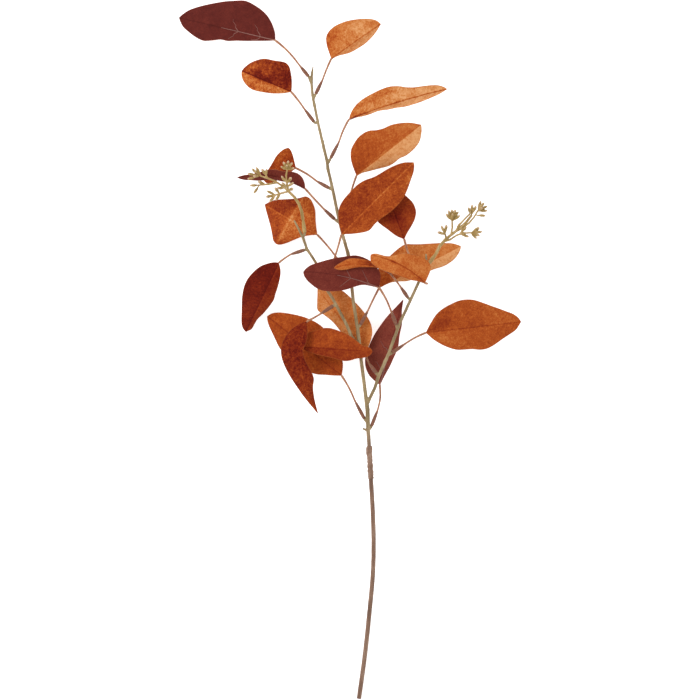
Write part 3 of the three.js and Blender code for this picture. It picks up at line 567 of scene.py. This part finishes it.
# Darker (below 0) and lighter places of the colour: blotches of the print, painted shadow on leaf_12 where
# it lies under leaf_13, painted shade in the midrib creases of leaf_03 and leaf_13, and a painted
# highlight on the peak of leaf_10's fold. Each is along (0 to 1), across (-1 right edge to 1 left edge),
# size, change.
PRINT_AND_PAINTED_LIGHT_PATCHES = {
    "leaf_02": [(0.2, 0.8, 0.25, -0.16), (0.55, 0.25, 0.3, 0.08), (0.9, 0.5, 0.2, -0.12)],
    "leaf_03": [
        (0.45, -0.05, 0.16, -0.3),
        (0.6, 0.02, 0.14, -0.3),
        (0.72, -0.3, 0.14, -0.2),
        (0.3, 0.6, 0.3, 0.12),
        (0.85, -0.5, 0.2, 0.2),
        (0.2, -0.6, 0.25, -0.14),
    ],
    "leaf_04": [(0.3, 0.7, 0.25, -0.1), (0.05, 0.0, 0.12, -0.45), (0.6, 0.5, 0.2, 0.08)],
    "leaf_05": [(0.15, 0.5, 0.3, -0.08), (0.8, 0.6, 0.3, 0.06)],
    "leaf_06": [(0.2, -0.3, 0.25, -0.16), (0.3, -0.8, 0.2, 0.12)],
    "leaf_08": [
        (0.2, -0.7, 0.25, 0.1),
        (0.15, 0.5, 0.2, -0.08),
        (0.55, -0.1, 0.2, 0.08),
        (0.85, -0.7, 0.2, 0.16),
    ],
    "leaf_09": [(0.35, 0.05, 0.25, -0.16), (0.2, -0.8, 0.25, 0.1)],
    "leaf_10": [
        (0.5, 0.0, 0.22, 0.16),
        (0.1, 0.1, 0.14, -0.24),
        (0.45, 0.95, 0.15, -0.16),
        (0.55, -0.2, 0.1, 0.1),
    ],
    "leaf_12": [(0.35, -0.4, 0.3, -0.3), (0.08, -0.1, 0.3, -0.36)],
    "leaf_13": [(0.62, 0.0, 0.1, -0.3), (0.2, -0.4, 0.25, 0.1), (0.15, 0.4, 0.15, -0.1)],
    "leaf_14": [(0.5, 0.8, 0.3, 0.06), (0.2, 0.3, 0.3, -0.1), (0.9, 0.0, 0.2, 0.06)],
    "leaf_15": [(0.12, 0.35, 0.2, -0.2), (0.2, -0.5, 0.22, 0.08), (0.55, 0.1, 0.2, -0.06)],
    "leaf_16": [(0.3, 0.3, 0.3, -0.06), (0.7, -0.5, 0.3, 0.08)],
    "leaf_17": [(0.55, -0.5, 0.35, -0.06), (0.2, -0.4, 0.25, -0.1)],
    "leaf_18": [(0.2, -0.3, 0.3, -0.06), (0.15, 0.9, 0.15, 0.12)],
    "leaf_19": [(0.7, 0.2, 0.2, 0.16), (0.35, -0.2, 0.25, -0.08), (0.9, 0.0, 0.12, 0.1)],
    "leaf_20": [(0.92, 0.0, 0.14, 0.16), (0.4, 0.6, 0.25, 0.06)],
}

# A fold from edge to edge, across the midrib: where it is, and how high the cloth stands there. The height
# also sets how bright the painted highlight along the fold's ridge is.
CROSS_FOLDS = {"leaf_10": (0.47, 4.5), "leaf_03": (0.5, 1.6), "leaf_13": (0.55, 1.6)}


class Blade:
    """The fine mid-surface of a blade, made from the rows of its CAD solid."""

    def __init__(self, node, number):
        self.node = node
        self.number = number
        self.turned = node in TURNED
        start, rings, end = rings_of(node, 8)
        stalk = np.array([v.co[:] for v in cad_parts[node.replace("leaf", "petiole")].data.vertices])
        if np.linalg.norm(stalk - start, axis=1).min() > np.linalg.norm(stalk - end, axis=1).min():
            start, rings, end = end, rings[::-1], start
        self.lines = self._five_lines(start, rings, end)
        self._make_grid()

    def _five_lines(self, start, rings, end):
        """Left edge, half left, midrib, half right and right edge, from base to tip."""
        left = unit(np.cross(UP, end - start))
        rows = [[start] * 5]
        for ring in rings:
            pairs = [(np.linalg.norm(ring[i] - ring[i + 4]), i) for i in range(4)]
            edge = max(pairs)[1]
            if np.dot(ring[edge] - ring[edge + 4], left) < 0:
                edge += 4
            at = [ring[(edge + k) % 8] for k in range(8)]
            rows.append([at[0], (at[1] + at[7]) / 2, (at[2] + at[6]) / 2, (at[3] + at[5]) / 2, at[4]])
        rows.append([end] * 5)
        rows = np.array(rows)
        return [smooth_through(rows[:, k], ROW_STEPS) for k in range(5)]

    def _make_grid(self):
        far_left, mid_left, rib, mid_right, far_right = self.lines
        columns = []
        for v in ACROSS[:0:-1]:
            columns.append(self._between(rib, mid_left, far_left, v))
        columns.append(rib)
        for v in ACROSS[1:]:
            columns.append(self._between(rib, mid_right, far_right, v))
        grid = np.stack(columns, axis=1)
        self.rows, self.columns = grid.shape[:2]
        self.share = np.concatenate([ACROSS[:0:-1], -ACROSS])
        spans = np.linalg.norm(np.diff(rib, axis=0), axis=1)
        self.along = np.concatenate([[0], np.cumsum(spans)])
        self.length = self.along[-1]
        self.normal = self._normals(grid)
        self.grid = grid + self.normal * self._waves(grid)[:, :, None]
        self.normal = self._normals(self.grid)
        steps = np.linalg.norm(np.diff(self.grid, axis=1), axis=2)
        from_left = np.concatenate([np.zeros((self.rows, 1)), np.cumsum(steps, axis=1)], axis=1)
        middle = self.columns // 2
        self.across = from_left[:, middle : middle + 1] - from_left
        self.rim = np.minimum(from_left, from_left[:, -1:] - from_left)

    @staticmethod
    def _between(rib, half, edge, v):
        """Curve through the midrib, the point half way out, and the edge."""
        at_half = 0.52
        near_rib = (v - at_half) * (v - 1) / at_half
        near_half = v * (v - 1) / (at_half * (at_half - 1))
        near_edge = v * (v - at_half) / (1 - at_half)
        return rib * near_rib + half * near_half + edge * near_edge

    def _normals(self, grid):
        down = np.gradient(grid, axis=0)
        over = np.gradient(grid, axis=1)
        normal = unit(np.cross(over, down))
        normal[0] = normal[1]
        normal[-1] = normal[-2]
        if normal[self.rows // 2, self.columns // 2, 2] < 0:
            normal = -normal
        return normal

    def _waves(self, grid):
        """Small waves of the edge and dents of the cloth."""
        offset = np.zeros(grid.shape[:2])
        seed = Vector((self.number * 7.3, self.number * 3.1, 0))
        for j in range(self.rows):
            u = self.along[j] / self.length
            ends = math.sin(math.pi * min(max(u, 0), 1)) ** 0.7
            for c in range(self.columns):
                v = self.share[c]
                point = Vector(grid[j, c])
                edge = noise.noise(point * 55 + seed) * 2.2 * abs(v) ** 3
                dent = noise.noise(point * 38 - seed) * 0.8
                groove = -0.35 * math.exp(-((v / 0.05) ** 2)) * (1 if u < RIB_END + 0.1 else 0.5)
                offset[j, c] = (edge * ends + dent * ends + groove + self._fold(u)) * MM
        return offset

    def _fold(self, u):
        """Height of the tent that a fold across the midrib makes of the blade."""
        at, height = CROSS_FOLDS.get(self.node, (0.5, 0.0))
        return height * (u / at if u < at else (1 - u) / (1 - at))

    def print_tones_and_light(self):
        # The print's tone with painted light and shade of each half, of the facets of a fold and of
        # patches, and a painted highlight on a fold's ridge.
        left_base, left_tip, right_base, right_tip = PRINT_TONES_AND_LIGHT.get(self.node, (0.45, 0.5, 0.45, 0.5))
        u = (self.along / self.length)[:, None]
        turn = u
        # On a folded leaf the tones change at the fold, as painted light and shade of the facets on either
        # side.
        if self.node in CROSS_FOLDS:
            turn = np.clip((u - CROSS_FOLDS[self.node][0]) / 0.08 + 0.5, 0, 1)
        left = left_base + (left_tip - left_base) * turn
        right = right_base + (right_tip - right_base) * turn
        side = np.clip(self.share[None, :] / 0.06, -1, 1) * 0.5 + 0.5
        tone = left * side + right * (1 - side)
        # Patches: blotches of the print, and on some leaves painted shadow, painted crease shade and a
        # painted highlight on a fold's peak.
        for at, across, size, change in PRINT_AND_PAINTED_LIGHT_PATCHES.get(self.node, []):
            distance = ((u - at) ** 2 + ((self.share[None, :] - across) * 0.45) ** 2) / (size * 0.6) ** 2
            tone = tone + change * np.exp(-distance)
        if self.node in CROSS_FOLDS:
            # Painted highlight along the ridge of the fold.
            at, height = CROSS_FOLDS[self.node]
            tone = tone + 0.05 * height * np.exp(-(((u - at) / 0.02) ** 2))
        return tone

    def piece(self, finishes):
        """Front and back of the cloth, joined by its cut edge."""
        print_side = -1 if self.turned else 1
        half = CLOTH / 2
        front = (self.grid + self.normal * half * print_side).reshape(-1, 3)
        back = (self.grid - self.normal * half * print_side).reshape(-1, 3)
        front[:, 2] = np.maximum(front[:, 2], 0)
        back[:, 2] = np.maximum(back[:, 2], 0)
        quads = []
        for j in range(self.rows - 1):
            for c in range(self.columns - 1):
                a = j * self.columns + c
                quads.append((a, a + 1, a + 1 + self.columns, a + self.columns))
        count = self.rows * self.columns
        up = [tuple(reversed(q)) for q in quads]
        down = [tuple(i + count for i in q) for q in quads]
        if self.turned:
            up = [q[::-1] for q in up]
            down = [q[::-1] for q in down]
        rim = self._rim_faces(count)
        numbers = {
            "tone": self.print_tones_and_light().ravel(),
            "rim": self.rim.ravel(),
            "across": self.across.ravel(),
            "along": np.repeat(self.along, self.columns),
            "leaf": np.full(count, float(self.number)),
            "mottle": np.full(count, MOTTLES.get(self.node, 0.36)),
            "crease": np.full(count, MIDRIB_SHADING.get(self.node, 0.12)),
            "back": np.full(count, BACK_TONES_AND_LIGHT.get(self.node, 0.5)),
        }
        numbers = {key: np.concatenate([value, value]) for key, value in numbers.items()}
        shape = Shape()
        kinds = [0] * len(up) + [1] * len(down) + [2] * len(rim)
        shape.add(np.vstack([front, back]), up + down + rim, kinds, **numbers)
        thing = shape.piece(self.node + "_cloth", finishes)
        mend(thing)
        finish_piece(thing, self.node)

    def _rim_faces(self, count):
        faces = []
        for j in range(self.rows - 1):
            for c in (0, self.columns - 1):
                a = j * self.columns + c
                b = a + self.columns
                faces.append((a, b, b + count, a + count) if c == 0 else (b, a, a + count, b + count))
        return faces

    def rib_route(self, side):
        """Points along the midrib, lying on one face of the cloth."""
        middle = self.columns // 2
        last = int(np.searchsorted(self.along, RIB_END * self.length))
        rows = range(1, last + 1, 2)
        return np.array([self.grid[j, middle] + side * self.normal[j, middle] * CLOTH for j in rows])

    def vein_route(self, start, sign, side):
        """Points of a side vein, from the midrib outwards and towards the tip."""
        middle = self.columns // 2
        route = []
        reach = VEIN_LENGTH
        for step in np.linspace(0, 1, 7):
            along = start * self.length + reach * 0.62 * step
            j = min(int(np.searchsorted(self.along, along)), self.rows - 2)
            widths = self.across[j] * sign
            out = min(reach * 0.78 * step, widths.max() * 0.8)
            columns = list(range(middle, -1, -1) if sign > 0 else range(middle, self.columns))
            place = np.interp(out, widths[columns], np.arange(len(columns)))
            low = columns[int(place)]
            high = columns[min(int(place) + 1, len(columns) - 1)]
            part = place - int(place)
            point = self.grid[j, low] * (1 - part) + self.grid[j, high] * part
            route.append(point + side * self.normal[j, low] * 0.32 * MM)
        return np.array(route)


def mend(thing):
    """Welds the points that fall together at base and tip, and turns the faces outwards."""
    mesh = bmesh.new()
    mesh.from_mesh(thing.data)
    bmesh.ops.remove_doubles(mesh, verts=mesh.verts, dist=1e-6)
    bmesh.ops.recalc_face_normals(mesh, faces=mesh.faces)
    mesh.to_mesh(thing.data)
    mesh.free()


# --------------------------------------------------------------------------------------------------
# Petioles

PETIOLE_SIDES = 6  # of the CAD solid
MOUTH_RINGS = 2  # rings of the CAD solid that line the socket's mouth
SOCKET_RINGS = 3
RING_STEPS = 5  # fine rings for each ring of the CAD solid
STALK_RADIUS = 1.08 * MM
MOUTH_RADIUS = 1.25 * MM
SHORTEST_VEIN = 4 * MM


def petiole_piece(blade, finish):
    """Socket, thin stalk, rib and side veins of one leaf, moulded in one."""
    node = blade.node.replace("leaf", "petiole")
    rings = rings_of(node, PETIOLE_SIDES)[1]
    centres = np.array([ring.mean(axis=0) for ring in rings])
    radii = np.array([np.linalg.norm(ring - ring.mean(axis=0), axis=1).mean() for ring in rings])
    if radii[0] < radii[-1]:
        centres, radii = centres[::-1], radii[::-1]
    centres, radii = centres[MOUTH_RINGS:], radii[MOUTH_RINGS:]
    side = 1 if blade.turned else -1
    base = blade.grid[0, 0]
    stalk = len(centres) - RIB_ROWS - 1
    rib = blade.rib_route(side)
    route = np.vstack([centres[:stalk], [base + side * UP * 0.5 * MM], rib])
    stalk_radii = np.maximum(radii[:stalk], STALK_RADIUS)
    taper = np.linspace(0.8, 0.3, len(rib)) * MM
    thick = np.concatenate([stalk_radii, [STALK_RADIUS], taper])
    fine = smooth_through(np.column_stack([route, thick]), RING_STEPS)
    points, widths = fine[:, :3], np.maximum(fine[:, 3], 0.25 * MM)
    at = np.concatenate([[0], np.cumsum(np.linalg.norm(np.diff(points, axis=0), axis=1))])
    socket_end = at[RING_STEPS * SOCKET_RINGS]
    rib_start = at[RING_STEPS * stalk]
    ripple = np.array([noise.noise(Vector(p) * 420 + Vector((blade.number, 0, 0))) for p in points])
    widths = widths * (1 + 0.03 * ripple)
    socket = np.clip((socket_end - at) / (4 * MM) + 0.3, 0, 1)
    on_rib = np.clip((at - rib_start) / (6 * MM), 0, 1)
    shape = Shape()
    sides = 12
    mouth = sweep([points[0], points[0] + (points[1] - points[0]) * 0.2], [MOUTH_RADIUS] * 2, sides)
    body = sweep(points, widths, sides)
    first = np.vstack([mouth[1], mouth[0], body[0] * 0.75 + mouth[0] * 0.25, body[0]])
    count = len(points) + 3
    whole = np.vstack([first, body[1:].reshape(-1, 3)])
    socket_all = np.concatenate([np.ones(4), socket[1:]]).repeat(sides)
    rib_all = np.concatenate([np.zeros(4), on_rib[1:]]).repeat(sides)
    shape.add(whole, tube_faces(count, sides), 0, socket=socket_all, rib=rib_all)
    for start_at in VEINS:
        for sign in (1, -1):
            vein = blade.vein_route(start_at, sign, side)
            if np.linalg.norm(vein[-1] - vein[0]) < SHORTEST_VEIN:
                continue
            slim = sweep(vein, np.linspace(0.42, 0.16, len(vein)) * MM, 6)
            shape.add(slim.reshape(-1, 3), tube_faces(len(vein), 6), 0, socket=0.0, rib=1.0)
    thing = shape.piece(node + "_moulding", [finish])
    mend(thing)
    finish_piece(thing, node)


# --------------------------------------------------------------------------------------------------
# Stems


CRUMB_POINTS = 60


def drop_crumbs(thing, fewest):
    """Removes the loose bits of a skin that have fewer points than this."""
    mesh = bmesh.new()
    mesh.from_mesh(thing.data)
    seen = set()
    crumbs = []
    for point in mesh.verts:
        if point in seen:
            continue
        seen.add(point)
        bit = [point]
        for member in bit:
            for edge in member.link_edges:
                other = edge.other_vert(member)
                if other not in seen:
                    seen.add(other)
                    bit.append(other)
        if len(bit) < fewest:
            crumbs.extend(bit)
    bmesh.ops.delete(mesh, geom=crumbs, context="VERTS")
    mesh.to_mesh(thing.data)
    mesh.free()


def remoulded(node, name, voxel, smoothing, finishes, swell=0.0):
    """A CAD solid, swollen a little, with its facets melted into one rounded skin."""
    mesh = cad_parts[node].data.copy()
    thing = bpy.data.objects.new(name, mesh)
    bpy.context.scene.collection.objects.link(thing)
    if swell:
        mend(thing)
        roughen(thing, lambda point, normal: swell)
    remesh = thing.modifiers.new("skin", "REMESH")
    remesh.mode = "VOXEL"
    remesh.voxel_size = voxel
    soften = thing.modifiers.new("soften", "SMOOTH")
    soften.factor = 0.5
    soften.iterations = smoothing
    bpy.context.view_layer.update()
    graph = bpy.context.evaluated_depsgraph_get()
    done = bpy.data.meshes.new_from_object(thing.evaluated_get(graph))
    thing.modifiers.clear()
    thing.data = done
    done.name = name
    done.materials.clear()
    for finish in finishes:
        done.materials.append(finish)
    drop_crumbs(thing, CRUMB_POINTS)
    done.polygons.foreach_set("material_index", [0] * len(done.polygons))
    done.polygons.foreach_set("use_smooth", [True] * len(done.polygons))
    return thing


def roughen(thing, height):
    """Moves each point along its normal by the height that the function gives for that point."""
    mesh = thing.data
    places = np.empty(len(mesh.vertices) * 3, np.float32)
    normals = np.empty(len(mesh.vertices) * 3, np.float32)
    mesh.vertices.foreach_get("co", places)
    mesh.vertex_normals.foreach_get("vector", normals)
    places, normals = places.reshape(-1, 3), normals.reshape(-1, 3)
    heights = [height(Vector(place), Vector(normal)) for place, normal in zip(places, normals)]
    moved = places + normals * np.array(heights, np.float32)[:, None]
    mesh.vertices.foreach_set("co", moved.ravel())
    mesh.update()


def bark(point, normal):
    stretched = Vector((point.x, point.y * 0.3, point.z))
    ridges = noise.noise(stretched * 700) * 0.10
    knobs = max(noise.noise(point * 130), 0.25) - 0.25
    return (0.1 + ridges + knobs * 0.7) * MM


def stem_piece(node, finish):
    thing = remoulded(node, node + "_moulding", 0.42 * MM, 6, [finish])
    roughen(thing, bark)
    finish_piece(thing, node)


def binding_piece(finish):
    """Stretched tape wound over the splice: turns, lumps, and a knob at its upper end."""
    thing = remoulded("stem_binding", "stem_binding_tape", 0.3 * MM, 4, [finish])
    low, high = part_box("stem_binding")

    def height(point, normal):
        along = (point.y - low.y) / (high.y - low.y)
        around = math.atan2(normal.z, normal.x) / (2 * math.pi)
        turn = (along * 7.5 + around) % 1.0
        lap = 0.32 * (1 - turn) if turn > 0.12 else 0.32 * turn / 0.12
        lump = noise.noise(point * 300) * 1.0
        return (lap - 0.15 + lump) * MM

    roughen(thing, height)
    finish_piece(thing, "stem_binding")


def lower_stem_piece(finish, wire):
    """Straight-moulded lower stem with a parting ring, and the steel wire showing in its cut end."""
    start, rings, end = rings_of("lower_stem", 10)
    if start[1] > end[1]:
        rings = rings[::-1]
    centres = np.array([ring.mean(axis=0) for ring in rings])
    radii = np.array([np.linalg.norm(ring - ring.mean(axis=0), axis=1).mean() for ring in rings])
    fine = smooth_through(np.column_stack([centres, radii]), 16)
    sides = 20
    turns = 2 * math.pi * np.arange(sides) / sides
    widths = []
    for x, y, z, radius in fine:
        around = [Vector((math.cos(a), math.sin(a), y)) for a in turns]
        flutes = np.array([noise.noise(place * Vector((1.6, 1.6, 26))) for place in around])
        knobs = np.array([noise.noise(place * Vector((2, 2, 160))) for place in around])
        groove = -0.16 * math.exp(-(((y + 0.278) / 0.0007) ** 2))
        ridge = 0.1 * math.exp(-(((y + 0.280) / 0.0012) ** 2))
        widths.append(radius + (0.12 + flutes * 0.12 + knobs * 0.12 + groove + ridge) * MM)
    body = sweep(fine[:, :3], widths, sides)
    body[:, :, 2] = np.maximum(body[:, :, 2], 0)
    shape = Shape()
    axis = unit(fine[1, :3] - fine[0, :3])
    core = sweep([fine[0, :3] - axis * 0.25 * MM, fine[0, :3] + axis * 0.3 * MM], [0.75 * MM] * 2, sides)
    chamfer = fine[0, :3] + (body[0] - fine[0, :3]) * 0.9
    inner = fine[0, :3] + (body[0] - fine[0, :3]) * 0.36
    body[0] = body[0] + axis * 0.25 * MM
    whole = np.vstack([inner + axis * 0.1 * MM, chamfer, body.reshape(-1, 3)])
    shape.add(whole, tube_faces(len(body) + 2, sides), 0)
    shape.add(core.reshape(-1, 3), tube_faces(2, sides), 1)
    thing = shape.piece("lower_stem_moulding", [finish, wire])
    mend(thing)
    finish_piece(thing, "lower_stem")


# --------------------------------------------------------------------------------------------------
# Seed sprays

BUD_SIDES = 5
# Share of a bud's length, and its radius there in mm
BUD_OUTLINE = [
    (0, 0.35),
    (0.1, 0.5),
    (0.28, 0.95),
    (0.5, 1.22),
    (0.68, 1.3),
    (0.82, 1.1),
    (0.92, 0.75),
    (0.98, 0.4),
    (1, 0.1),
]


def bud_tips(node):
    """Tip and root of every bud of a spray: the tips are the sharp points of the CAD solid."""
    points, near = welded(node)
    found = []
    for i, around in enumerate(near):
        if len(around) != BUD_SIDES:
            continue
        ring = points[around]
        centre = ring.mean(axis=0)
        rise = points[i] - centre
        reach = np.linalg.norm(rise)
        radius = np.linalg.norm(ring - centre, axis=1)
        if 1.0 * MM < reach < 2.4 * MM and radius.std() < 0.12 * MM and radius.mean() > 0.8 * MM:
            found.append((points[i], points[i] - rise / 0.22))
    return found


def spray_piece(node, twig_finish, bud_finish):
    thing = remoulded(node, node + "_twigs", 0.3 * MM, 3, [twig_finish], 0.26 * MM)
    roughen(thing, lambda point, normal: noise.noise(point * 500) * 0.12 * MM)
    finish_piece(thing, node)
    shape = Shape()
    for number, (tip, root) in enumerate(bud_tips(node)):
        span = tip - root
        plump = 1.0 + 0.16 * math.sin(number * 2.4)
        route = [root + span * at for at, _ in BUD_OUTLINE]
        widths = []
        for at, width in BUD_OUTLINE:
            facets = 1 + 0.09 * np.cos(4 * 2 * math.pi * np.arange(12) / 12 + number)
            widths.append(width * plump * 1.12 * MM * facets)
        rings = sweep(route, widths, 12)
        tipward = np.array([at for at, _ in BUD_OUTLINE]).repeat(12)
        shape.add(rings.reshape(-1, 3), tube_faces(len(route), 12), 0, tipward=tipward)
    buds = shape.piece(node + "_buds", [bud_finish])
    mend(buds)
    finish_piece(buds, node)


# --------------------------------------------------------------------------------------------------
# Camera, floor and light

SPREAD = 749.5 * MM
CAMERA_HEIGHT = 8.0
MEAN_HEIGHT = 0.036


def set_camera():
    data = bpy.data.cameras.new("camera")
    camera = bpy.data.objects.new("camera", data)
    bpy.context.scene.collection.objects.link(camera)
    camera.location = (0, 0, CAMERA_HEIGHT)
    data.sensor_width = 36
    data.lens = 36 * (CAMERA_HEIGHT - MEAN_HEIGHT) / SPREAD
    data.clip_end = 50
    bpy.context.scene.camera = camera


def set_floor():
    finish = Finish("pale studio floor")
    soft = finish.noise(3, 2, 0.5)
    colour = finish.ramp(soft, [(0.3, (0.93, 0.93, 0.93, 1)), (0.7, (0.95, 0.95, 0.95, 1))])
    material = finish.close(
        Base_Color=colour,
        Roughness=0.9,
        Specular_IOR_Level=0.1,
        Emission_Color=(1, 1, 1, 1),
        Emission_Strength=0.72,
    )
    mesh = bmesh.new()
    bmesh.ops.create_grid(mesh, x_segments=8, y_segments=8, size=6)
    data = bpy.data.meshes.new("floor")
    mesh.to_mesh(data)
    mesh.free()
    data.materials.append(material)
    floor = bpy.data.objects.new("floor", data)
    floor.location.z = -0.0005
    bpy.context.scene.collection.objects.link(floor)


def area_light(name, place, size, power, colour=(1, 1, 1)):
    data = bpy.data.lights.new(name, "AREA")
    data.shape = "DISK"
    data.size = size
    data.energy = power
    data.color = colour
    light = bpy.data.objects.new(name, data)
    light.location = place
    light.rotation_euler = Vector((-place[0], -place[1], -place[2])).to_track_quat("-Z", "Y").to_euler()
    bpy.context.scene.collection.objects.link(light)


def set_light():
    world = bpy.data.worlds.new("studio")
    bpy.context.scene.world = world
    world.use_nodes = True
    background = world.node_tree.nodes["Background"]
    background.inputs["Color"].default_value = (1, 1, 1, 1)
    background.inputs["Strength"].default_value = 0.62
    area_light("softbox_left", (-1.6, 0.9, 2.2), 1.6, 36)
    area_light("softbox_right", (1.8, -0.6, 2.0), 1.8, 12)
    scene = bpy.context.scene
    scene.view_settings.view_transform = "Standard"
    scene.view_settings.look = "None"
    scene.view_settings.exposure = 0.0
    scene.view_settings.gamma = 1.0


# --------------------------------------------------------------------------------------------------
# Making it

set_camera()
set_floor()
set_light()

printed = printed_cloth()
underside = underside_cloth()
edge = cut_edge()
stalks = petiole_plastic()
olive = stem_plastic("olive stem plastic", "68573A", "978059", "BCA780", ("70523F", "9C7F69"))
brown = stem_plastic("brown stem plastic", "5C4234", "84634F", "A98C78")
tape = stem_plastic("wound stem tape", "664A38", "906F5B", "B09480")
twigs = stem_plastic("spray twig plastic", "85682F", "AE8F55", "D2B88C")
seeds = bud_plastic()
steel = bare_wire()

for number in range(1, 22):
    leaf = Blade(f"leaf_{number:02d}", number)
    leaf.piece([underside, printed, edge] if leaf.node == "leaf_07" else [printed, underside, edge])
    petiole_piece(leaf, stalks)

for stem in ("main_stem", "left_branch", "right_branch"):
    stem_piece(stem, olive)
lower_stem_piece(brown, steel)
binding_piece(tape)
for spray in ("seed_spray_left", "seed_spray_right"):
    spray_piece(spray, twigs, seeds)

bpy.context.view_layer.update()
